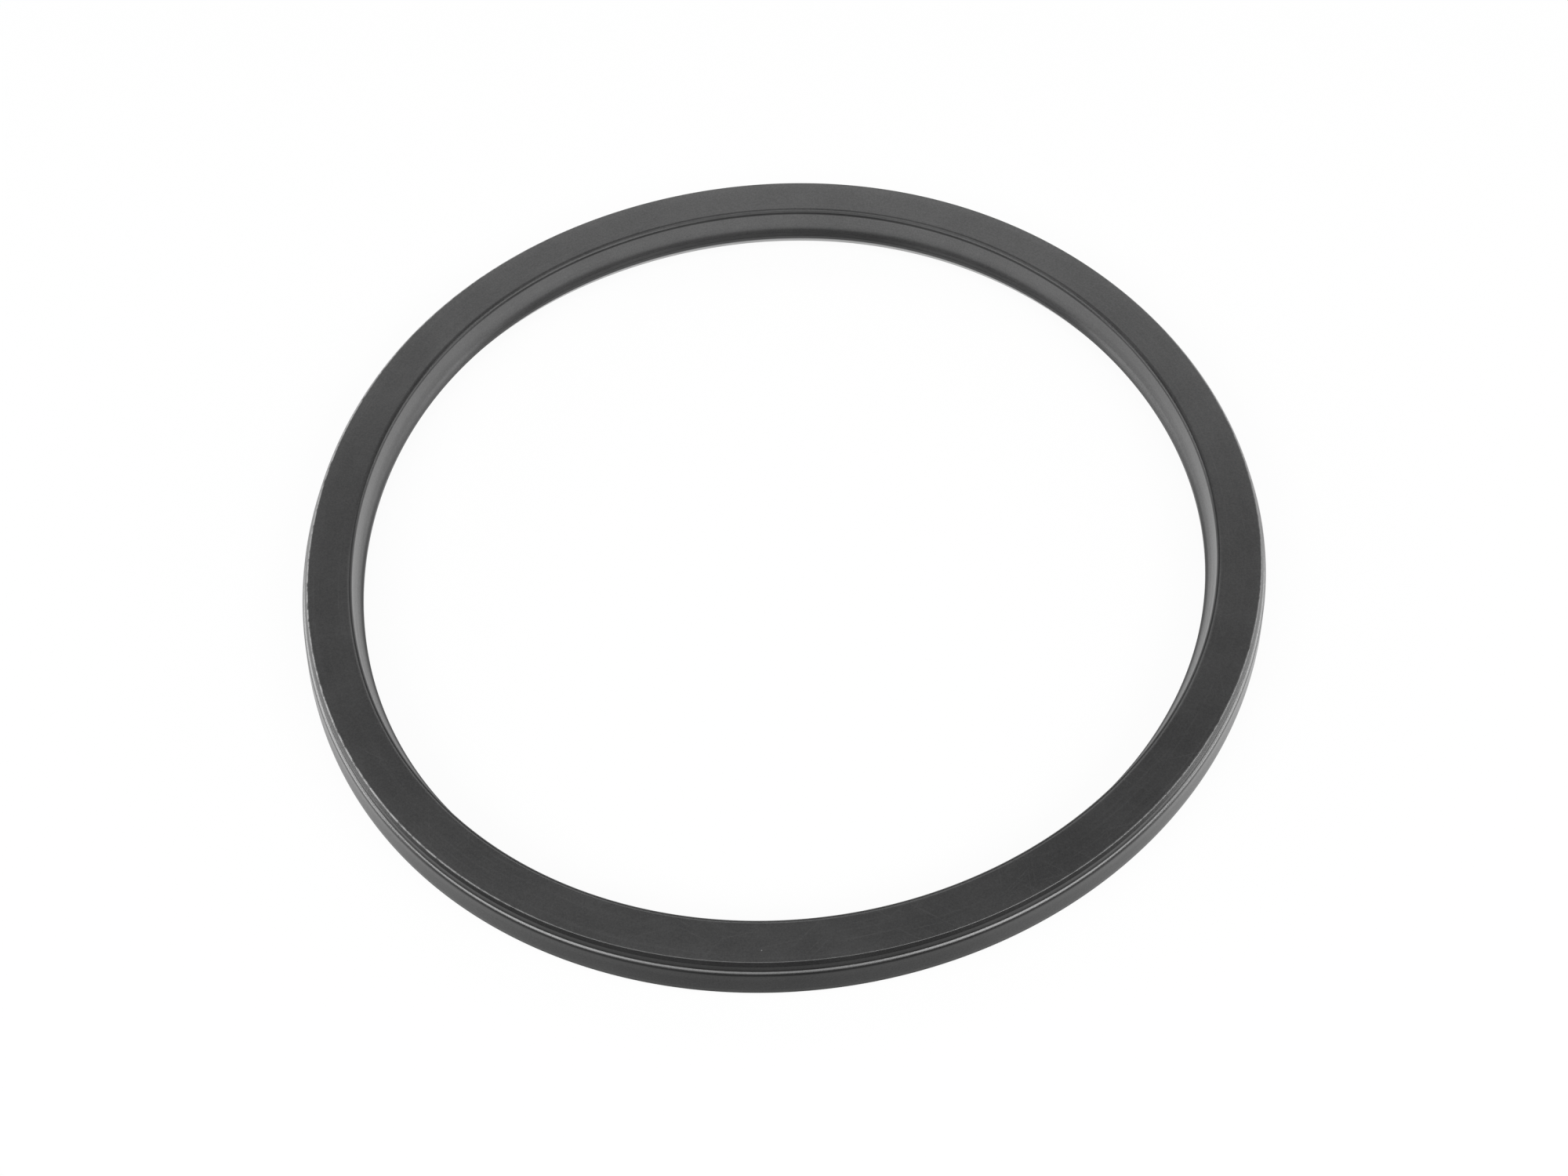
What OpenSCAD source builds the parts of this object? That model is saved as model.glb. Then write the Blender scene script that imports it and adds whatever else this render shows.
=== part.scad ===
// Sealing ring: one moulded ring of black rubber. Its section is turned about Z. The underside lies
// at z = 0 and the ring's centre is at the origin. All sizes are in millimetres.

/* [Ring] */
// Diameter of the inner land, the tightest part of the ring
bore_d = 114; // [80:1:160]
// Width of the section, from the inner land to the outer land
section_w = 8; // [7:0.5:14]
// Height of the ring, from the underside to the flat top face
ring_h = 6.5; // [5.5:0.5:12]

/* [Outer wall] */
// Width of the bevel round the top face
rim_bevel_w = 0.38; // [0.2:0.02:0.8]
// Height of the bevel round the top face
rim_bevel_h = 0.5; // [0.2:0.05:1]
// Height of the neck, from the bevel down to the ledge
neck_h = 1; // [0.5:0.05:2]
// Lean of the neck, in degrees
neck_draft = 5; // [0:0.5:10]
// Width of the sloping ledge, from the neck out to the lip
ledge_w = 0.42; // [0.3:0.02:0.8]
// Fall of the ledge, from the neck out to the lip
ledge_fall = 0.3; // [0.2:0.02:0.4]
// Step from the outer land in to the lip
lip_step = 0.26; // [0.2:0.01:0.6]
// Height of the outer land, above the foot's bevel
outer_land_h = 0.8; // [0.5:0.05:1.2]
// Width and height of the bevel round the foot
foot_bevel = 0.6; // [0.3:0.05:0.8]

/* [Inner wall] */
// Radius of the rounded mouth between the top face and the inner wall
mouth_round = 0.7; // [0.3:0.05:1]
// Lean of the upper inner wall towards the bore, in degrees
throat_draft = 7.5; // [2:0.5:10]
// Step from the inner land back to the foot of the upper inner wall
throat_step = 0.7; // [0.5:0.05:1]
// Height of the slope from the upper inner wall to the inner land
slope_h = 1; // [0.8:0.05:1.4]
// Height of the inner land
inner_land_h = 0.5; // [0.3:0.05:1]
// Width of the lead-in bevel below the inner land
lead_in_w = 1.3; // [0.6:0.05:1.6]
// Height of the lead-in bevel below the inner land
lead_in_h = 1.95; // [1:0.05:2.3]

/* [Edges] */
// Radius that breaks the sharp edges
edge_round = 0.12; // [0.05:0.01:0.15]
// Radius of the convex lip
lip_round = 0.6; // [0.2:0.05:0.7]
// Radius of the hollow between the upper inner wall and its slope
hollow_round = 3; // [1:0.2:3.4]

/* [Hidden] */
// Straight pieces that draw each rounded corner of the section
arc_steps = 5;
// Facets round the ring in a preview
ring_facets = 240;

bore_r = bore_d / 2;
outer_r = bore_r + section_w;
outer_land_top = foot_bevel + outer_land_h;
lip_r = outer_r - lip_step;
neck_foot_r = lip_r - ledge_w;
neck_foot = ring_h - rim_bevel_h - neck_h;
neck_top_r = neck_foot_r - neck_h * tan(neck_draft);
rim_r = neck_top_r - rim_bevel_w;
inner_land_top = lead_in_h + inner_land_h;
throat_foot = inner_land_top + slope_h;
throat_foot_r = bore_r + throat_step;
mouth_r = throat_foot_r + (ring_h - throat_foot) * tan(throat_draft);

// Corners of the section as [radius from the axis, height, rounding], anticlockwise from the foot
SECTION = [
    [bore_r + lead_in_w, 0, edge_round],
    [outer_r - foot_bevel, 0, edge_round],
    [outer_r, foot_bevel, edge_round],
    [outer_r, outer_land_top, edge_round],
    [lip_r, neck_foot - ledge_fall, lip_round],
    [neck_foot_r, neck_foot, edge_round],
    [neck_top_r, ring_h - rim_bevel_h, edge_round],
    [rim_r, ring_h, edge_round],
    [mouth_r, ring_h, mouth_round],
    [throat_foot_r, throat_foot, hollow_round],
    [bore_r, inner_land_top, edge_round],
    [bore_r, lead_in_h, edge_round],
];

function unit(v) = v / norm(v);
function point(corner) = [corner[0], corner[1]];

// Points of the arc that rounds corner b, between its neighbours a and c
function rounded_corner(a, b, c) =
    let (
        to_a = unit(point(a) - point(b)),
        to_c = unit(point(c) - point(b)),
        half_angle = acos(to_a * to_c) / 2,
        radius = b[2],
        centre = point(b) + unit(to_a + to_c) * radius / sin(half_angle),
        foot = point(b) + to_a * radius / tan(half_angle) - centre,
        turn = sign(to_c[0] * to_a[1] - to_c[1] * to_a[0]) * (180 - 2 * half_angle)
    )
    [for (i = [0:arc_steps])
        let (angle = turn * i / arc_steps)
        centre + [
            foot[0] * cos(angle) - foot[1] * sin(angle),
            foot[0] * sin(angle) + foot[1] * cos(angle)
        ]
    ];

// Every corner of a closed outline, rounded in turn
function rounded(corners) =
    let (count = len(corners))
    [for (i = [0:count - 1])
        each rounded_corner(
            corners[(i + count - 1) % count],
            corners[i],
            corners[(i + 1) % count]
        )
    ];

module sealing_ring() {
    color("#2b2b2c")
        rotate_extrude($fn = ring_facets)
            polygon(rounded(SECTION));
}

sealing_ring();
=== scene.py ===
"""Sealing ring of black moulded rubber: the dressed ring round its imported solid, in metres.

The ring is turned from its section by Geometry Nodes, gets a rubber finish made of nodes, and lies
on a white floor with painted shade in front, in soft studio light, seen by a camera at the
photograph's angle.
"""
import logging
import math
from dataclasses import dataclass, field
from enum import Enum
from typing import Any

import bpy
from mathutils import Matrix, Vector


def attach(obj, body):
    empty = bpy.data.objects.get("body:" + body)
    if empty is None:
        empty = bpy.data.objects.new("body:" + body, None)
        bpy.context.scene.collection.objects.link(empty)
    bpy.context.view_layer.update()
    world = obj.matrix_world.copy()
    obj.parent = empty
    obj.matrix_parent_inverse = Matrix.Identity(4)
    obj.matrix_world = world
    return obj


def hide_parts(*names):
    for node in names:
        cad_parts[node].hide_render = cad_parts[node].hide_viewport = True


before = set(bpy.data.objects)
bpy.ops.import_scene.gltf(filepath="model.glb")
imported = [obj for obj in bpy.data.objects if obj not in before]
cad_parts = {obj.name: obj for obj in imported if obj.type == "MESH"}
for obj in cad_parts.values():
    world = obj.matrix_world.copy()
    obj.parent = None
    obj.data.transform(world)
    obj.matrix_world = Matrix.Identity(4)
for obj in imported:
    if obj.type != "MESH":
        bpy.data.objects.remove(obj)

MM = 0.001
NODE_NAME = "sealing_ring"
BODY_NAME = "root"
WHITE = (1.0, 1.0, 1.0, 1.0)
# Watts per square metre that make an area lamp as bright as an emission of strength 1
LAMP_WATTS = 4.0

LOG = logging.getLogger("sealing_ring")

Colour = tuple[float, float, float, float]
Pair = tuple[float, float]


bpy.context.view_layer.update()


# --------------------------------------------------------------------------------------------------
# Node graphs


class Sum(Enum):
    """The Math node's operations that the graphs use."""

    ADD = "ADD"
    SUBTRACT = "SUBTRACT"
    MULTIPLY = "MULTIPLY"
    DIVIDE = "DIVIDE"
    POWER = "POWER"
    MODULO = "MODULO"
    FLOOR = "FLOOR"
    ABSOLUTE = "ABSOLUTE"
    MINIMUM = "MINIMUM"
    MAXIMUM = "MAXIMUM"
    COSINE = "COSINE"
    SINE = "SINE"


class Graph:
    """A node tree with one way to add a node, and wrapped sockets for its sums."""

    # The Mix node's colour sockets go by place, because its other kinds share their names
    MIX_SHARE, MIX_FIRST, MIX_SECOND, MIX_RESULT = 0, 6, 7, 2

    def __init__(self, tree: bpy.types.NodeTree) -> None:
        """Takes over a tree and empties it.

        Args:
            tree: The shader or geometry tree to fill.
        """
        self.tree = tree
        tree.nodes.clear()

    def node(self, kind: str, settings: dict[str, Any] | None = None,
             inputs: dict[Any, Any] | None = None) -> bpy.types.Node:
        """Adds one node, sets what it is, then fills its sockets.

        Args:
            kind: The node's type.
            settings: Attributes of the node, set first.
            inputs: Values or links by the socket's name or index.

        Returns:
            The new node.
        """
        made = self.tree.nodes.new(kind)
        for name, value in (settings or {}).items():
            setattr(made, name, value)
        for name, value in (inputs or {}).items():
            self.put(made.inputs[name], value)
        return made

    def put(self, socket: bpy.types.NodeSocket, value: Any) -> None:
        """Gives a socket a value or a link.

        Args:
            socket: The input to fill.
            value: A number, a vector, a wrapped socket or a plain output socket.
        """
        if isinstance(value, Term):
            self.tree.links.new(value.socket, socket)
        elif isinstance(value, bpy.types.NodeSocket):
            self.tree.links.new(value, socket)
        else:
            socket.default_value = value

    def term(self, socket: bpy.types.NodeSocket) -> "Term":
        """Wraps an output socket, so that sums can be written with it."""
        return Term(self, socket)

    def sum(self, operation: Sum, *values: Any, clamp: bool = False) -> "Term":
        """Adds one Math node.

        Args:
            operation: What the node does.
            values: Its one or two values.
            clamp: Whether the result is kept between 0 and 1.

        Returns:
            The node's wrapped result.
        """
        made = self.node("ShaderNodeMath", {"operation": operation.value, "use_clamp": clamp},
                         dict(enumerate(values)))
        return self.term(made.outputs[0])

    def join(self, x: Any, y: Any, z: Any) -> "Term":
        """Makes a vector of three values."""
        made = self.node("ShaderNodeCombineXYZ", inputs={"X": x, "Y": y, "Z": z})
        return self.term(made.outputs[0])

    def split(self, vector: Any) -> tuple["Term", "Term", "Term"]:
        """Takes a vector apart into its three values."""
        made = self.node("ShaderNodeSeparateXYZ", inputs={0: vector})
        return tuple(self.term(output) for output in made.outputs)

    def span(self, value: Any, low: float, high: float, to_low: float = 0.0, to_high: float = 1.0,
             smooth: bool = True) -> "Term":
        """Maps a value from one range onto another, held at its ends.

        Args:
            value: The wrapped value.
            low: Where the range starts.
            high: Where the range ends.
            to_low: The result at the start.
            to_high: The result at the end.
            smooth: Whether the result eases in and out.

        Returns:
            The mapped value.
        """
        settings = {"interpolation_type": "SMOOTHSTEP" if smooth else "LINEAR", "clamp": True}
        made = self.node("ShaderNodeMapRange", settings, {
            "Value": value, "From Min": low, "From Max": high,
            "To Min": to_low, "To Max": to_high})
        return self.term(made.outputs[0])

    def fade(self, value: Any, edge: float, past: Pair) -> "Term":
        """Fades in over a stretch beside an edge of the section.

        Args:
            value: A radius or a height, in metres.
            edge: The edge's own radius or height, in millimetres.
            past: How far past the edge the result is 0, and how far past it 1, in millimetres.

        Returns:
            A mask from 0 to 1.
        """
        none, full = past
        return self.span(value, (edge + none) * MM, (edge + full) * MM)

    def noise(self, vector: Any, scale: float, detail: float, roughness: float) -> "Term":
        """Adds a noise that stays fixed to the piece.

        Args:
            vector: Where the noise is read.
            scale: Its scale, per unit of the vector.
            detail: How many finer layers it has.
            roughness: How strong they are.

        Returns:
            Its value, about 0 to 1.
        """
        made = self.node("ShaderNodeTexNoise", {"noise_dimensions": "3D"}, {
            "Vector": vector, "Scale": scale, "Detail": detail, "Roughness": roughness})
        return self.term(made.outputs[0])

    def tint(self, share: Any, first: Any, second: Any) -> "Term":
        """Mixes two colours.

        Args:
            share: How much of the second one there is.
            first: The first colour.
            second: The second colour.

        Returns:
            The mixed colour.
        """
        made = self.node("ShaderNodeMix", {"data_type": "RGBA"}, {
            self.MIX_SHARE: share, self.MIX_FIRST: first, self.MIX_SECOND: second})
        return self.term(made.outputs[self.MIX_RESULT])


class Term:
    """An output socket that can be used in sums."""

    def __init__(self, graph: Graph, socket: bpy.types.NodeSocket) -> None:
        """Wraps a socket.

        Args:
            graph: The graph that the socket is in.
            socket: The output socket.
        """
        self.graph = graph
        self.socket = socket

    def __add__(self, other: Any) -> "Term":
        """Adds."""
        return self.graph.sum(Sum.ADD, self, other)

    __radd__ = __add__

    def __sub__(self, other: Any) -> "Term":
        """Takes away."""
        return self.graph.sum(Sum.SUBTRACT, self, other)

    def __rsub__(self, other: Any) -> "Term":
        """Is taken away."""
        return self.graph.sum(Sum.SUBTRACT, other, self)

    def __mul__(self, other: Any) -> "Term":
        """Multiplies."""
        return self.graph.sum(Sum.MULTIPLY, self, other)

    __rmul__ = __mul__

    def __truediv__(self, other: Any) -> "Term":
        """Divides."""
        return self.graph.sum(Sum.DIVIDE, self, other)

    def __rtruediv__(self, other: Any) -> "Term":
        """Is divided by."""
        return self.graph.sum(Sum.DIVIDE, other, self)

    def __mod__(self, other: Any) -> "Term":
        """Gives the remainder."""
        return self.graph.sum(Sum.MODULO, self, other)

    def __pow__(self, other: Any) -> "Term":
        """Raises to a power."""
        return self.graph.sum(Sum.POWER, self, other)

    def __abs__(self) -> "Term":
        """Drops the sign."""
        return self.graph.sum(Sum.ABSOLUTE, self)


def blank_material(name: str) -> tuple[bpy.types.Material, Graph]:
    """Makes a material with nothing in it yet.

    Args:
        name: The material's name.

    Returns:
        The material and its empty graph.
    """
    material = bpy.data.materials.new(name)
    material.use_nodes = True
    return material, Graph(material.node_tree)


# --------------------------------------------------------------------------------------------------
# The ring's section and its free shape


@dataclass(frozen=True)
class Corner:
    """A corner of the section, before it is rounded. All in millimetres."""

    radius: float
    height: float
    rounding: float

    @property
    def place(self) -> Vector:
        """The corner's distance from the axis and its height."""
        return Vector((self.radius, self.height))


@dataclass
class RingSection:
    """The section that is turned about Z, in millimetres and degrees."""

    # The sizes of the ring's source
    bore_d: float = 114.0
    section_w: float = 8.0
    ring_h: float = 6.5
    rim_bevel_w: float = 0.38
    rim_bevel_h: float = 0.5
    neck_h: float = 1.0
    neck_draft: float = 5.0
    ledge_w: float = 0.42
    ledge_fall: float = 0.3
    lip_step: float = 0.26
    outer_land_h: float = 0.8
    foot_bevel: float = 0.6
    mouth_round: float = 0.7
    throat_draft: float = 7.5
    throat_step: float = 0.7
    slope_h: float = 1.0
    inner_land_h: float = 0.5
    lead_in_w: float = 1.3
    lead_in_h: float = 1.95
    edge_round: float = 0.12
    lip_round: float = 0.6
    hollow_round: float = 3.0

    # How it is drawn: each step of a rounding, the points that keep a flat flat, and the long flats
    turn_per_step: float = 16.0
    least_steps: int = 2
    keep_flat: float = 0.07
    keep_share: float = 0.4
    longest_step: float = 0.45

    @property
    def bore_r(self) -> float:
        """Radius of the inner land."""
        return self.bore_d / 2

    @property
    def outer_r(self) -> float:
        """Radius of the outer land."""
        return self.bore_r + self.section_w

    @property
    def throat_foot(self) -> float:
        """Height at which the upper inner wall meets its slope."""
        return self.lead_in_h + self.inner_land_h + self.slope_h

    @property
    def mouth_r(self) -> float:
        """Radius at which the upper inner wall would meet the top face."""
        rise = self.ring_h - self.throat_foot
        return self.bore_r + self.throat_step + rise * math.tan(math.radians(self.throat_draft))

    @property
    def neck_foot(self) -> float:
        """Height of the neck's foot, where the ledge starts."""
        return self.ring_h - self.rim_bevel_h - self.neck_h

    @property
    def neck_foot_r(self) -> float:
        """Radius of the neck's foot."""
        return self.outer_r - self.lip_step - self.ledge_w

    @property
    def neck_top_r(self) -> float:
        """Radius of the neck's top, where the bevel starts."""
        return self.neck_foot_r - self.neck_h * math.tan(math.radians(self.neck_draft))

    @property
    def rim_r(self) -> float:
        """Radius of the top face's outer edge."""
        return self.neck_top_r - self.rim_bevel_w

    def corners(self) -> list[Corner]:
        """Lists the section's corners, anticlockwise from the foot of the lead-in."""
        edge, top, outer, bore = self.edge_round, self.ring_h, self.outer_r, self.bore_r
        return [
            Corner(bore + self.lead_in_w, 0.0, edge),
            Corner(outer - self.foot_bevel, 0.0, edge),
            Corner(outer, self.foot_bevel, edge),
            Corner(outer, self.foot_bevel + self.outer_land_h, edge),
            Corner(outer - self.lip_step, self.neck_foot - self.ledge_fall, self.lip_round),
            Corner(self.neck_foot_r, self.neck_foot, edge),
            Corner(self.neck_top_r, top - self.rim_bevel_h, edge),
            Corner(self.rim_r, top, edge),
            Corner(self.mouth_r, top, self.mouth_round),
            Corner(bore + self.throat_step, self.throat_foot, self.hollow_round),
            Corner(bore, self.lead_in_h + self.inner_land_h, edge),
            Corner(bore, self.lead_in_h, edge),
        ]

    @staticmethod
    def reach(before: Corner, at: Corner, after: Corner) -> float:
        """Gives how far a corner's rounding goes along the flats beside it.

        Args:
            before: The corner before this one.
            at: The corner to round.
            after: The corner after it.

        Returns:
            The length, in millimetres.
        """
        half = (before.place - at.place).angle(after.place - at.place) / 2
        return at.rounding / math.tan(half)

    def rounded(self, before: Corner, at: Corner, after: Corner, keep: Pair) -> list[Vector]:
        """Draws one rounded corner, with a point on each flat beside it.

        Args:
            before: The corner before this one.
            at: The corner to round.
            after: The corner after it.
            keep: How far past the rounding those two points lie, in millimetres.

        Returns:
            The points, in order, in millimetres.
        """
        back = (before.place - at.place).normalized()
        ahead = (after.place - at.place).normalized()
        half = back.angle(ahead) / 2
        reach = self.reach(before, at, after)
        centre = at.place + (back + ahead).normalized() * (at.rounding / math.sin(half))
        arm = at.place + back * reach - centre
        side = math.copysign(1.0, ahead.x * back.y - ahead.y * back.x)
        turn = side * (math.pi - 2 * half)
        steps = max(self.least_steps, math.ceil(abs(math.degrees(turn)) / self.turn_per_step))
        points = [at.place + back * (reach + keep[0])]
        for step in range(steps + 1):
            points.append(centre + Matrix.Rotation(turn * step / steps, 2) @ arm)
        points.append(at.place + ahead * (reach + keep[1]))
        return points

    def outline(self) -> list[Vector]:
        """Draws the whole section, with its long flats divided.

        Returns:
            The closed outline's points, in millimetres.
        """
        corners = self.corners()
        count = len(corners)
        trios = [(corners[index - 1], corner, corners[(index + 1) % count])
                 for index, corner in enumerate(corners)]
        reaches = [self.reach(*trio) for trio in trios]
        keeps: list[float] = []
        for index, (_, at, after) in enumerate(trios):
            length = (after.place - at.place).length
            free = length - reaches[index] - reaches[(index + 1) % count]
            keeps.append(min(self.keep_flat, free * self.keep_share))
        drawn: list[Vector] = []
        for index, trio in enumerate(trios):
            drawn += self.rounded(*trio, keep=(keeps[index - 1], keeps[index]))
        divided: list[Vector] = []
        for index, point in enumerate(drawn):
            step = drawn[(index + 1) % len(drawn)] - point
            pieces = max(1, math.ceil(step.length / self.longest_step))
            divided += [point + step * (part / pieces) for part in range(pieces)]
        return divided


@dataclass(frozen=True)
class Wave:
    """One wave of the free shape: how many go round, and how far it reaches, in millimetres."""

    count: int
    cosine: float
    sine: float

    @property
    def inputs(self) -> dict[str, float]:
        """The turning tree's two inputs for the wave, by name, in metres."""
        return {f"Wave {self.count} cosine": self.cosine * MM,
                f"Wave {self.count} sine": self.sine * MM}


# --------------------------------------------------------------------------------------------------
# The rubber


@dataclass(frozen=True)
class Surface:
    """What the rubber's masks read at a point of the ring."""

    place: Term
    x: Term
    y: Term
    z: Term
    along_x: Term
    along_y: Term
    radius: Term

    @classmethod
    def read(cls, graph: Graph, waves: tuple[Wave, ...]) -> "Surface":
        """Finds a point's place, its direction from the axis and its radius on the round ring.

        Args:
            graph: The material's graph.
            waves: The waves of the free ring, each counted once.

        Returns:
            The point's terms.
        """
        place = graph.term(graph.node("ShaderNodeTexCoord").outputs["Object"])
        x, y, z = graph.split(place)
        reach = (x * x + y * y) ** 0.5
        along_x, along_y = x / reach, y / reach
        return cls(place, x, y, z, along_x, along_y, cls.housed(along_x, along_y, reach, waves))

    @staticmethod
    def housed(along_x: Term, along_y: Term, reach: Term, waves: tuple[Wave, ...]) -> Term:
        """Takes the waves back out of a radius, so that marks keep to the section's edges.

        Args:
            along_x: Cosine of the angle round the ring.
            along_y: Sine of the angle round the ring.
            reach: Distance from the axis on the free ring.
            waves: The waves, each counted once.

        Returns:
            The same point's distance from the axis on the round ring.
        """
        by_count = {wave.count: wave for wave in waves}
        cosine, sine = along_x, along_y
        for count in range(2, max(by_count) + 1):
            cosine, sine = (cosine * along_x - sine * along_y,
                            sine * along_x + cosine * along_y)
            if count in by_count:
                wave = by_count[count]
                reach = reach - cosine * (wave.cosine * MM) - sine * (wave.sine * MM)
        return reach


@dataclass(frozen=True)
class Sheen:
    """The rubber's sheen: strongest on the lip, weakest in the mouth and on the inner land.

    Each pair says how far past an edge of the section a zone starts and is full, in millimetres.
    """

    plain: float = 0.6
    on_lip: float = 0.95
    on_dull: float = 0.08
    added_at_rim: float = 0.1
    roughness: float = 0.3
    ior: float = 2.0
    grain: float = 1.1
    cloud: float = 0.3
    lines: float = 0.12
    lip_top: Pair = (0.0, -0.1)
    lip_foot: Pair = (-2.0, -0.8)
    lip_side: Pair = (0.0, 0.1)
    mouth_side: Pair = (0.4, 0.15)
    mouth_foot: Pair = (-0.62, -0.5)
    land_side: Pair = (0.45, 0.15)
    rim_side: Pair = (-1.8, -0.3)

    def weight(self, graph: Graph, at: Surface, section: RingSection) -> Term:
        """Grades the sheen over the section.

        Args:
            graph: The material's graph.
            at: The point on the ring.
            section: The ring's section.

        Returns:
            The coat's weight.
        """
        lip = graph.fade(at.z, section.neck_foot, self.lip_top) \
            * graph.fade(at.z, section.neck_foot, self.lip_foot) \
            * graph.fade(at.radius, section.neck_foot_r, self.lip_side)
        mouth = graph.fade(at.radius, section.mouth_r, self.mouth_side) \
            * graph.fade(at.z, section.ring_h, self.mouth_foot)
        land = graph.fade(at.radius, section.bore_r, self.land_side)
        dull = graph.sum(Sum.MAXIMUM, mouth, land)
        rim = graph.fade(at.radius, section.rim_r, self.rim_side)
        return self.plain + lip * (self.on_lip - self.plain) \
            + dull * (self.on_dull - self.plain) + rim * (1.0 - lip) * self.added_at_rim


@dataclass(frozen=True)
class TurnedLines:
    """Faint lines that run round the ring, as trimming leaves them. Lengths are in metres."""

    width: float = 0.00026
    length: float = 0.03
    middle_radius: float = 0.06
    shown: Pair = (0.5, 0.78)
    dust: float = 0.35
    roughness: float = 0.05
    height: float = 0.0000036

    def mask(self, graph: Graph, at: Surface) -> Term:
        """Draws the lines.

        Args:
            graph: The material's graph.
            at: The point on the ring.

        Returns:
            A mask from 0 to 1.
        """
        round_scale = self.middle_radius / self.length
        across = (at.radius + at.z) * (1 / self.width)
        spot = graph.join(at.along_x * round_scale, at.along_y * round_scale, across)
        return graph.span(graph.noise(spot, scale=1.0, detail=2.0, roughness=0.6), *self.shown)


@dataclass(frozen=True)
class Scratches:
    """Fine straight scratches on the top face, in several directions. Lengths are in metres."""

    width: float = 0.00018
    length: float = 0.012
    degrees: tuple[float, ...] = (14.0, 47.0, 95.0, 151.0)
    layer_gap: float = 7.0
    shown: Pair = (0.735, 0.8)
    top_mm: Pair = (-0.2, -0.05)
    dust: float = 0.8
    roughness: float = 0.12
    depth: float = 0.0000054

    def mask(self, graph: Graph, at: Surface, section: RingSection) -> Term:
        """Draws the scratches, one layer of noise for each direction.

        Args:
            graph: The material's graph.
            at: The point on the ring.
            section: The ring's section.

        Returns:
            A mask from 0 to 1.
        """
        total: Term | None = None
        for number, angle in enumerate(self.degrees):
            cosine, sine = math.cos(math.radians(angle)), math.sin(math.radians(angle))
            along = (at.x * cosine + at.y * sine) * (1 / self.length)
            across = (at.y * cosine - at.x * sine) * (1 / self.width)
            spot = graph.join(along, across, number * self.layer_gap)
            layer = graph.span(graph.noise(spot, scale=1.0, detail=0.0, roughness=0.5), *self.shown)
            total = layer if total is None else graph.sum(Sum.MAXIMUM, total, layer)
        return total * graph.fade(at.z, section.ring_h, self.top_mm)


@dataclass(frozen=True)
class PaintedEdgeHighlight:
    """The broken pale line along the top outer edge: a painted highlight, plainest at the ring's
    left and right.
    """

    width: float = 0.00016
    core: float = 0.4
    breaks_per_metre: float = 900.0
    shown: Pair = (0.3, 0.6)
    sideways: Pair = (0.35, 0.8)
    right_share: float = 0.35
    right_to_left: Pair = (0.6, -0.6)

    def mask(self, graph: Graph, at: Surface, section: RingSection) -> Term:
        """Draws the line.

        Args:
            graph: The material's graph.
            at: The point on the ring.
            section: The ring's section.

        Returns:
            A mask from 0 to 1.
        """
        off = graph.sum(Sum.MAXIMUM, abs(at.radius - section.rim_r * MM),
                        abs(at.z - section.ring_h * MM))
        broken = graph.noise(at.place, self.breaks_per_metre, detail=3.0, roughness=0.65)
        line = graph.span(off, self.width, self.width * self.core) \
            * graph.span(broken, *self.shown)
        # Painted highlight: strongest where the edge faces left and right, and more on the left
        # than the right
        return line * graph.span(abs(at.along_x), *self.sideways) \
            * graph.span(at.along_x, *self.right_to_left, self.right_share, 1.0)


@dataclass(frozen=True)
class Flecks:
    """A few pale nicks and specks. Lengths are in metres."""

    spacing: float = 0.0026
    size: float = 0.00011
    core: float = 0.5
    chosen: Pair = (0.86, 0.9)
    strength: float = 0.5

    def mask(self, graph: Graph, at: Surface) -> Term:
        """Scatters the flecks: one cell in several has a fleck at its middle.

        Args:
            graph: The material's graph.
            at: The point on the ring.

        Returns:
            A mask from 0 to the flecks' strength.
        """
        cells = graph.node("ShaderNodeTexVoronoi", {"feature": "F1"}, {
            "Vector": at.place, "Scale": 1 / self.spacing, "Randomness": 1.0})
        lot = graph.split(cells.outputs["Color"])[0]
        near = graph.term(cells.outputs["Distance"])
        size = self.size / self.spacing
        return graph.span(near, size, size * self.core) * graph.span(lot, *self.chosen) \
            * self.strength


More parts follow.
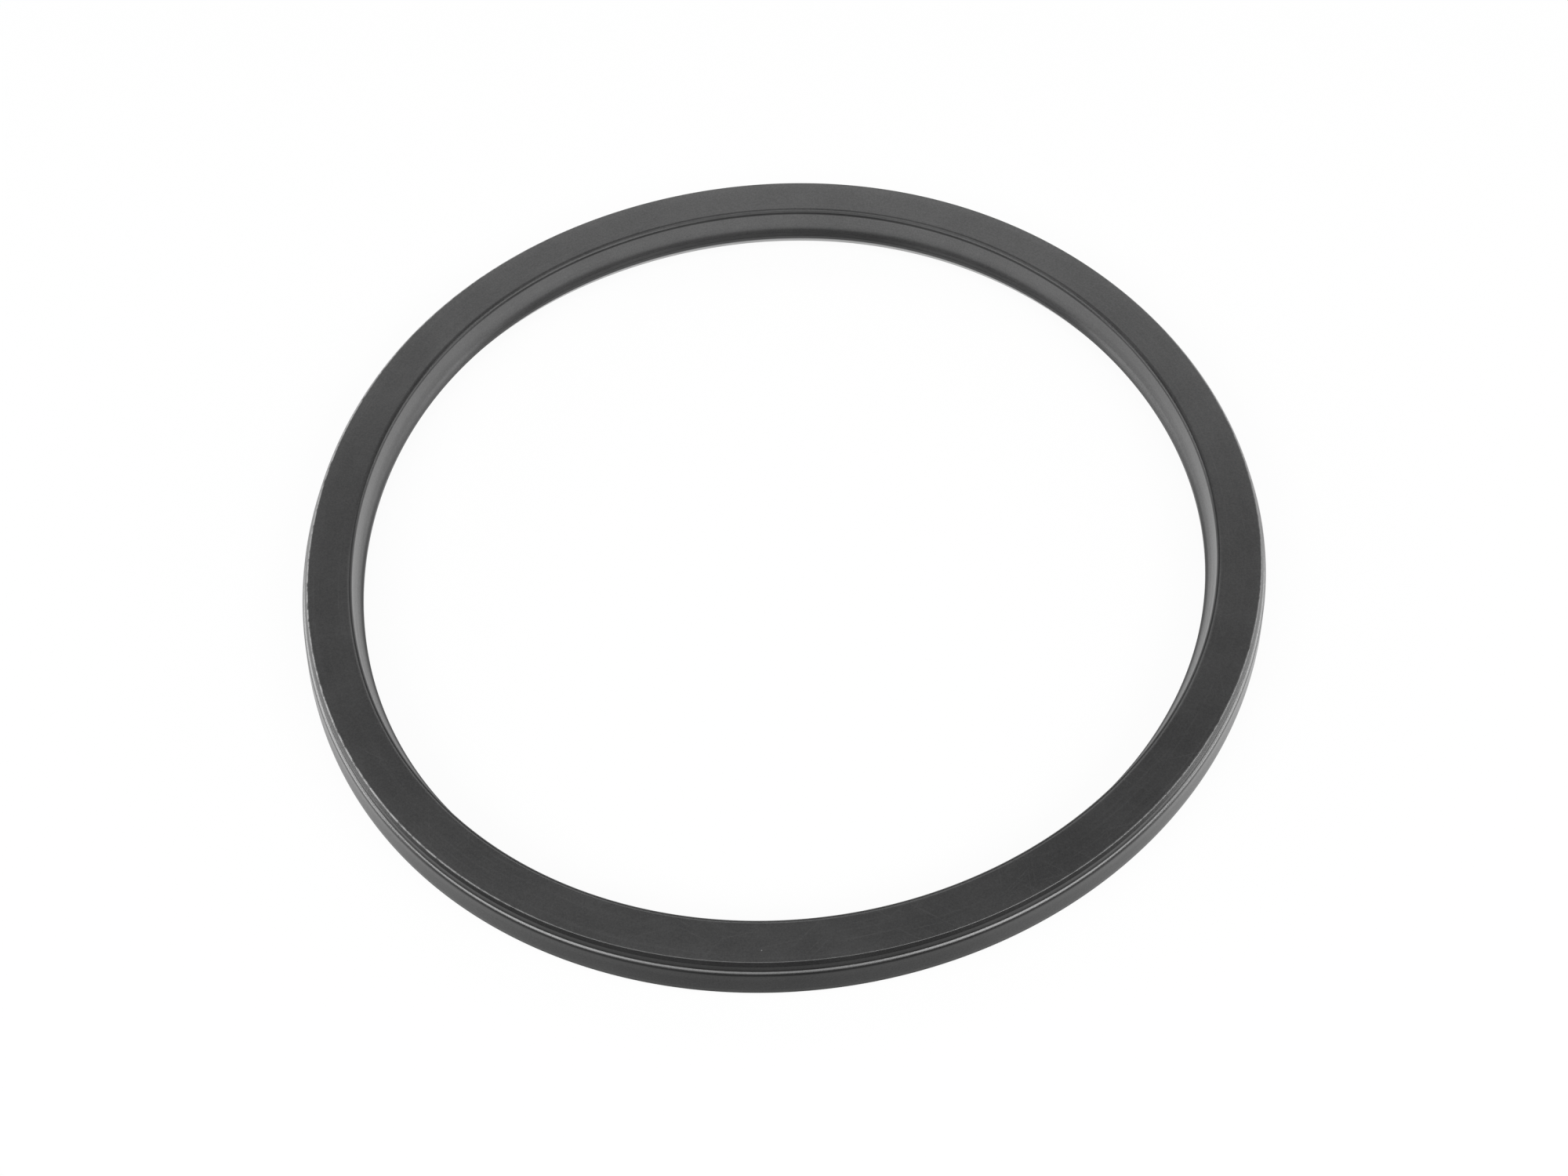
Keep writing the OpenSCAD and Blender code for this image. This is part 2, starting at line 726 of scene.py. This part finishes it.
@dataclass(frozen=True)
class RubberFinish:
    """Black rubber with some wear and a painted edge highlight. Colours are linear, and lengths are
    in metres.
    """

    base: Colour = (0.0105, 0.0105, 0.0108, 1.0)
    dusty: Colour = (0.021, 0.021, 0.0212, 1.0)
    # Pale colour of the nicks, and of the painted highlight along the top outer edge
    worn_and_highlight: Colour = (0.3, 0.3, 0.3, 1.0)
    roughness: float = 0.34
    roughness_spread: float = 0.1
    worn_and_highlight_roughness: float = 0.2
    most_roughness: float = 0.8
    specular: float = 0.5
    grain_size: float = 0.00022
    grain_depth: float = 0.000006
    cloud_size: float = 0.009
    cloud_shown: Pair = (0.35, 0.75)
    cloud_dust: float = 0.6
    sheen: Sheen = Sheen()
    turned: TurnedLines = TurnedLines()
    scratches: Scratches = Scratches()
    painted_edge_highlight: PaintedEdgeHighlight = PaintedEdgeHighlight()
    flecks: Flecks = Flecks()

    def build(self, section: RingSection, waves: tuple[Wave, ...]) -> bpy.types.Material:
        """Makes the material.

        Args:
            section: The ring's section, which says where the edges are.
            waves: The waves of the free ring, which carry those edges in and out.

        Returns:
            The finished material.
        """
        material, graph = blank_material("black_rubber")
        at = Surface.read(graph, waves)
        grain = graph.noise(at.place, 1 / self.grain_size, detail=2.0, roughness=0.55) - 0.5
        cloud = graph.noise(at.place, 1 / self.cloud_size, detail=3.0, roughness=0.55)
        turned = self.turned.mask(graph, at)
        scratched = self.scratches.mask(graph, at, section)
        # Pale nicks, and the painted highlight along the top outer edge
        nicks_and_highlight = graph.sum(Sum.MAXIMUM, self.painted_edge_highlight.mask(graph, at, section),
                           self.flecks.mask(graph, at), clamp=True)

        dust = graph.span(cloud, *self.cloud_shown, 0.0, self.cloud_dust) \
            + turned * self.turned.dust + scratched * self.scratches.dust
        colour = graph.tint(graph.sum(Sum.MINIMUM, dust, 1.0), self.base, self.dusty)
        colour = graph.tint(nicks_and_highlight, colour, self.worn_and_highlight)

        clouded = cloud - 0.5
        roughness = self.roughness + (clouded + grain) * self.roughness_spread \
            + turned * self.turned.roughness + scratched * self.scratches.roughness \
            + nicks_and_highlight * self.worn_and_highlight_roughness
        relief = grain * self.grain_depth + turned * self.turned.height \
            - scratched * self.scratches.depth
        coat = self.sheen.weight(graph, at, section) * (
            1.0 + grain * self.sheen.grain + clouded * self.sheen.cloud
            + (turned - scratched) * self.sheen.lines)
        bump = graph.node("ShaderNodeBump", inputs={
            "Strength": 1.0, "Distance": 1.0, "Height": relief})
        shader = graph.node("ShaderNodeBsdfPrincipled", inputs={
            "Base Color": colour,
            "Roughness": graph.sum(Sum.MINIMUM, roughness, self.most_roughness),
            "Specular IOR Level": self.specular,
            "Coat Weight": graph.sum(Sum.MINIMUM, coat, 1.0),
            "Coat Roughness": self.sheen.roughness,
            "Coat IOR": self.sheen.ior,
            "Normal": bump.outputs["Normal"],
        })
        graph.node("ShaderNodeOutputMaterial", inputs={"Surface": shader.outputs[0]})
        return material


# --------------------------------------------------------------------------------------------------
# The ring


class TurnInput(Enum):
    """Names of the turning tree's own inputs."""

    STEPS = "Steps round"
    POINTS = "Points of the section"
    MATERIAL = "Material"


@dataclass
class SealingRing:
    """The one moulded ring, turned from its section."""

    section: RingSection = field(default_factory=RingSection)
    finish: RubberFinish = field(default_factory=RubberFinish)
    steps_round: int = 720
    waves: tuple[Wave, ...] = (
        Wave(2, -0.232, 1.143),
        Wave(3, 0.236, -0.096),
        Wave(4, -0.134, -0.125),
        Wave(5, 0.083, 0.011),
    )
    weld: float = 0.0000005
    index_guard: float = 0.25
    name: str = "rubber_sealing_ring"

    def turning_tree(self) -> bpy.types.NodeTree:
        """Builds the tree that turns a section about Z into a closed ring.

        A grid has one row for each step round the ring, and each of its points takes the place of
        a point of the section. The first row and column are drawn twice, then welded. The guard
        keeps a divided or rounded index from falling to the whole number below.

        Returns:
            The geometry tree, with named inputs for its sizes.
        """
        tree = bpy.data.node_groups.new("turned_ring", "GeometryNodeTree")
        sockets = {"Geometry": "NodeSocketGeometry", TurnInput.STEPS.value: "NodeSocketInt",
                   TurnInput.POINTS.value: "NodeSocketInt",
                   TurnInput.MATERIAL.value: "NodeSocketMaterial"}
        for wave in self.waves:
            sockets |= dict.fromkeys(wave.inputs, "NodeSocketFloat")
        for name, kind in sockets.items():
            tree.interface.new_socket(name, in_out="INPUT", socket_type=kind)
        tree.interface.new_socket("Geometry", in_out="OUTPUT", socket_type="NodeSocketGeometry")

        graph = Graph(tree)
        given = graph.node("NodeGroupInput").outputs
        steps = graph.term(given[TurnInput.STEPS.value])
        points = graph.term(given[TurnInput.POINTS.value])
        row = points + 1
        sheet = graph.node("GeometryNodeMeshGrid", inputs={
            "Size X": 1.0, "Size Y": 1.0, "Vertices X": steps + 1, "Vertices Y": row})
        index = graph.term(graph.node("GeometryNodeInputIndex").outputs[0])
        step = graph.sum(Sum.FLOOR, (index + self.index_guard) / row)
        point = (index - step * row) % points
        section_place = graph.node("GeometryNodeInputPosition").outputs[0]
        sample = graph.node(
            "GeometryNodeSampleIndex", {"data_type": "FLOAT_VECTOR", "domain": "POINT"}, {
                "Geometry": given["Geometry"], "Value": section_place,
                "Index": point + self.index_guard})
        out, _, up = graph.split(sample.outputs[0])
        angle = step / steps * math.tau
        for wave in self.waves:
            around = angle * float(wave.count)
            cosine, sine = (graph.term(given[name]) for name in wave.inputs)
            out = out + graph.sum(Sum.COSINE, around) * cosine + graph.sum(Sum.SINE, around) * sine
        turned = graph.join(
            out * graph.sum(Sum.COSINE, angle), out * graph.sum(Sum.SINE, angle), up)

        placed = graph.node("GeometryNodeSetPosition", inputs={
            "Geometry": sheet.outputs["Mesh"], "Position": turned})
        welded = graph.node("GeometryNodeMergeByDistance", inputs={
            "Geometry": placed.outputs[0], "Distance": self.weld})
        smooth = graph.node("GeometryNodeSetShadeSmooth", inputs={"Geometry": welded.outputs[0]})
        real = graph.node("GeometryNodeRealizeInstances", inputs={"Geometry": smooth.outputs[0]})
        dressed = graph.node("GeometryNodeSetMaterial", inputs={
            "Geometry": real.outputs[0], "Material": given[TurnInput.MATERIAL.value]})
        graph.node("NodeGroupOutput", inputs={"Geometry": dressed.outputs[0]})
        return tree

    def section_mesh(self) -> bpy.types.Mesh:
        """Makes a mesh of the section's points, radius along X and height along Z."""
        mesh = bpy.data.meshes.new("ring_section")
        outline = self.section.outline()
        mesh.from_pydata([(point.x * MM, 0.0, point.y * MM) for point in outline], [], [])
        return mesh

    def build(self) -> bpy.types.Object:
        """Makes the ring and puts it in the frame.

        Returns:
            The finished ring.
        """
        mesh = self.section_mesh()
        ring = bpy.data.objects.new(self.name, mesh)
        bpy.context.scene.collection.objects.link(ring)
        turning = ring.modifiers.new("turning", "NODES")
        turning.node_group = self.turning_tree()
        wanted: dict[str, Any] = {
            TurnInput.STEPS.value: self.steps_round,
            TurnInput.POINTS.value: len(mesh.vertices),
            TurnInput.MATERIAL.value: self.finish.build(self.section, self.waves),
        }
        for wave in self.waves:
            wanted |= wave.inputs
        for item in turning.node_group.interface.items_tree:
            if item.in_out == "INPUT" and item.name in wanted:
                turning[item.identifier] = wanted[item.name]
        bpy.context.view_layer.update()
        evaluated = ring.evaluated_get(bpy.context.evaluated_depsgraph_get())
        plain = bpy.data.meshes.new_from_object(evaluated)
        ring.modifiers.clear()
        ring.data = plain
        self.face_outwards(plain)
        plain.name = self.name
        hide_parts(NODE_NAME)
        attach(ring, BODY_NAME)
        return ring

    @staticmethod
    def face_outwards(mesh: bpy.types.Mesh) -> None:
        """Turns every face round if the mesh is inside out.

        Args:
            mesh: A closed mesh.
        """
        three_volumes = sum(
            face.center.dot(face.normal) * face.area for face in mesh.polygons)
        if three_volumes < 0:
            mesh.flip_normals()


# --------------------------------------------------------------------------------------------------
# The studio


@dataclass(frozen=True)
class Softbox:
    """A rectangular lamp that looks at the ring, with angles in degrees and lengths in metres.

    The azimuth runs clockwise from the back, and the radiance compares with an emission's strength.
    """

    name: str
    azimuth: float
    elevation: float
    distance: float
    width: float
    height: float
    radiance: float

    def build(self) -> bpy.types.Object:
        """Makes the lamp.

        Returns:
            The lamp's object.
        """
        lamp = bpy.data.lights.new(self.name, "AREA")
        lamp.shape = "RECTANGLE"
        lamp.size, lamp.size_y = self.width, self.height
        lamp.energy = self.radiance * LAMP_WATTS * self.width * self.height
        made = bpy.data.objects.new(self.name, lamp)
        turn, rise = math.radians(self.azimuth), math.radians(self.elevation)
        back = Vector((
            math.sin(turn) * math.cos(rise), math.cos(turn) * math.cos(rise), math.sin(rise)))
        made.location = back * self.distance
        made.rotation_mode = "QUATERNION"
        made.rotation_quaternion = back.to_track_quat("Z", "Y")
        bpy.context.scene.collection.objects.link(made)
        return made


@dataclass
class Studio:
    """White floor, white backdrop to the camera, and softboxes above and round the ring.

    The camera sees the floor white all over. The ring mirrors it white behind the middle and darker
    towards the front, painted shade that stands in for the ring's shadow there. Lengths are in
    metres.
    """

    floor_size: float = 6.0
    floor_drop: float = 0.00002
    floor_grey: float = 0.93
    floor_glow: float = 0.93
    # Along Y, the floor's painted shade runs from none behind the middle to full at the front
    grade_back: float = 0.0
    grade_front: float = -0.078
    grade_power: float = 0.7
    # The grey of the painted shade at the floor's front
    painted_front_shade: float = 0.03
    world_level: float = 0.06
    # Name, azimuth, elevation, distance, width, height and radiance
    lamps: list[Softbox] = field(default_factory=lambda: [
        Softbox("overhead_softbox", -90.0, 80.0, 1.0, 1.1, 0.7, 0.28),
        Softbox("high_softbox", 180.0, 82.0, 1.0, 1.2, 0.36, 0.8),
        Softbox("back_softbox", 4.0, 39.0, 1.2, 1.8, 0.42, 0.95),
        Softbox("front_softbox", 180.0, 45.0, 1.0, 0.7, 0.5, 1.35),
        Softbox("left_front_softbox", -122.0, 40.0, 1.0, 0.9, 0.46, 2.8),
        Softbox("right_front_softbox", 122.0, 40.0, 1.0, 0.9, 0.46, 2.9),
        Softbox("left_softbox", -80.0, 11.0, 1.1, 0.9, 0.36, 3.3),
        Softbox("right_softbox", 80.0, 11.0, 1.1, 0.9, 0.36, 2.9),
    ])

    def world(self) -> None:
        """Makes the world white to the camera and dim to the ring."""
        world = bpy.data.worlds.new("studio_world")
        bpy.context.scene.world = world
        world.use_nodes = True
        graph = Graph(world.node_tree)
        path = graph.node("ShaderNodeLightPath")
        dim, bright = (
            graph.node("ShaderNodeBackground", inputs={"Color": WHITE, "Strength": strength})
            for strength in (self.world_level, 1.0))
        mixed = graph.node("ShaderNodeMixShader", inputs={
            0: path.outputs["Is Camera Ray"], 1: dim.outputs[0], 2: bright.outputs[0]})
        graph.node("ShaderNodeOutputWorld", inputs={"Surface": mixed.outputs[0]})

    def floor_material(self) -> bpy.types.Material:
        """Makes the floor: white with a faint shadow to the camera, and painted shade towards the
        front for other rays.

        Returns:
            The floor's material.
        """
        material, graph = blank_material("white_floor")
        pale, painted_shade = ((level, level, level, 1.0) for level in (self.floor_grey, self.painted_front_shade))
        path = graph.node("ShaderNodeLightPath")
        seen = graph.term(path.outputs["Is Camera Ray"])
        mirrored = graph.term(path.outputs["Is Glossy Ray"])
        _, depth, _ = graph.split(graph.node("ShaderNodeTexCoord").outputs["Object"])
        # Painted shade: for all but camera rays the floor darkens towards the front, standing in
        # for the ring's shadow
        shade_grade = graph.span(depth, self.grade_front, self.grade_back, smooth=False)
        shown = graph.sum(Sum.MAXIMUM, shade_grade ** self.grade_power, seen)
        paint = graph.node("ShaderNodeBsdfDiffuse", inputs={
            "Color": graph.tint(shown, painted_shade, pale)})
        glow = graph.node("ShaderNodeEmission", inputs={
            "Color": graph.tint(shown, painted_shade, WHITE), "Strength": 1.0})
        mixed = graph.node("ShaderNodeMixShader", inputs={
            0: (seen + mirrored) * self.floor_glow, 1: paint.outputs[0], 2: glow.outputs[0]})
        graph.node("ShaderNodeOutputMaterial", inputs={"Surface": mixed.outputs[0]})
        return material

    def floor(self) -> bpy.types.Object:
        """Makes the floor, just below the ring's underside.

        Returns:
            The floor's object.
        """
        half = self.floor_size / 2
        mesh = bpy.data.meshes.new("studio_floor")
        corners = [(-half, -half), (half, -half), (half, half), (-half, half)]
        mesh.from_pydata([(x, y, -self.floor_drop) for x, y in corners], [], [(0, 1, 2, 3)])
        mesh.materials.append(self.floor_material())
        floor = bpy.data.objects.new("studio_floor", mesh)
        bpy.context.scene.collection.objects.link(floor)
        return floor

    def build(self) -> None:
        """Makes the world, the floor and the lamps."""
        self.world()
        self.floor()
        for lamp in self.lamps:
            lamp.build()


@dataclass(frozen=True)
class PhotoCamera:
    """The photograph's view, fitted to the ring's outline.

    The elevation is in degrees. The shifts and the distance are measured from the centre of the top
    face, in radii of its rim, and the scale is in pixels of the photograph for each such radius.
    """

    elevation: float = 55.03
    shift_right: float = -0.0007
    shift_up: float = 0.1211
    distance: float = 5.2
    pixels_per_unit: float = 607.8
    picture_width: float = 2000.0
    sensor_mm: float = 36.0
    nearest_m: float = 0.01
    farthest_m: float = 20.0

    def build(self, section: RingSection) -> bpy.types.Object:
        """Makes the camera and makes it the scene's own.

        Args:
            section: The ring's section.

        Returns:
            The camera's object.
        """
        rise = math.radians(self.elevation)
        right = Vector((1.0, 0.0, 0.0))
        up = Vector((0.0, math.sin(rise), math.cos(rise)))
        ahead = Vector((0.0, math.cos(rise), -math.sin(rise)))
        away = ahead * self.distance + right * self.shift_right + up * self.shift_up
        top = Vector((0.0, 0.0, section.ring_h * MM))
        lens = bpy.data.cameras.new("photo_camera")
        lens.sensor_fit = "HORIZONTAL"
        lens.sensor_width = self.sensor_mm
        lens.lens = self.pixels_per_unit * self.distance * self.sensor_mm / self.picture_width
        lens.clip_start, lens.clip_end = self.nearest_m, self.farthest_m
        camera = bpy.data.objects.new("photo_camera", lens)
        turn = Matrix((right, up, -ahead)).transposed()
        spot = top - away * (section.rim_r * MM)
        camera.matrix_world = Matrix.Translation(spot) @ turn.to_4x4()
        bpy.context.scene.collection.objects.link(camera)
        bpy.context.scene.camera = camera
        return camera


def main() -> None:
    """Builds the ring, the studio and the camera."""
    logging.basicConfig(level=logging.INFO, format="%(name)s: %(message)s")
    bpy.context.scene.view_settings.view_transform = "Standard"
    ring = SealingRing()
    camera = PhotoCamera().build(ring.section)
    LOG.info("%s: lens %.1f mm", camera.name, camera.data.lens)
    piece = ring.build()
    LOG.info("%s: %d faces", piece.name, len(piece.data.polygons))
    Studio().build()
    LOG.info("studio: floor, world and lamps")


if __name__ == "__main__":
    main()
